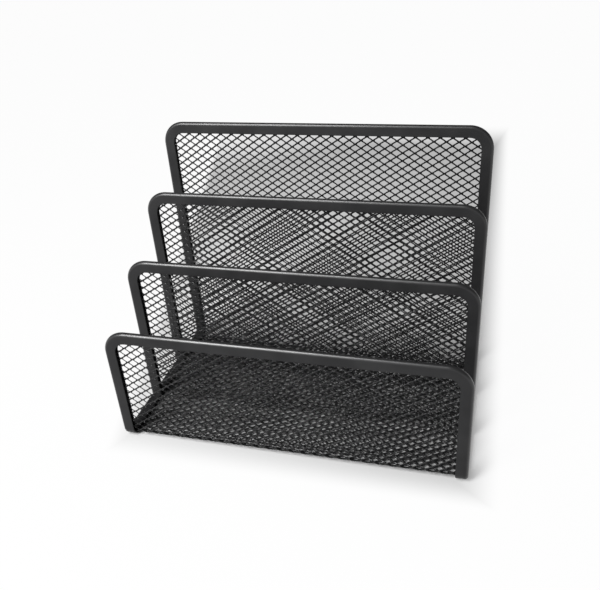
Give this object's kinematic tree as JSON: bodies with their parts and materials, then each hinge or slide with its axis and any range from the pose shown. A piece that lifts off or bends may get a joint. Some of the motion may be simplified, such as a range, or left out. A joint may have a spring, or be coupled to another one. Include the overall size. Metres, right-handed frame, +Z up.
{
  "type": "letter rack",
  "caption": "Free-standing desk letter rack of black expanded steel in folded rims: one bent sheet is front, floor and back, and two dividers make three pockets.",
  "frame": {"origin": "middle of the base, on the surface that the rack stands on", "axes": "+Z up, +X along the panels, -Y towards the front, where the lowest panel is"},
  "size_m": [0.178, 0.102, 0.14],
  "materials": {
    "coated_mesh": "satin black powder coat on expanded steel sheet",
    "coated_rim": "satin black powder coat on folded steel strip"
  },
  "bodies": {
    "root": {"front_mesh": "coated_mesh", "floor_mesh": "coated_mesh", "back_mesh": "coated_mesh", "body_rim": "coated_rim", "lower_divider_mesh": "coated_mesh", "lower_divider_rim": "coated_rim", "upper_divider_mesh": "coated_mesh", "upper_divider_rim": "coated_rim"}
  },
  "joints": []
}
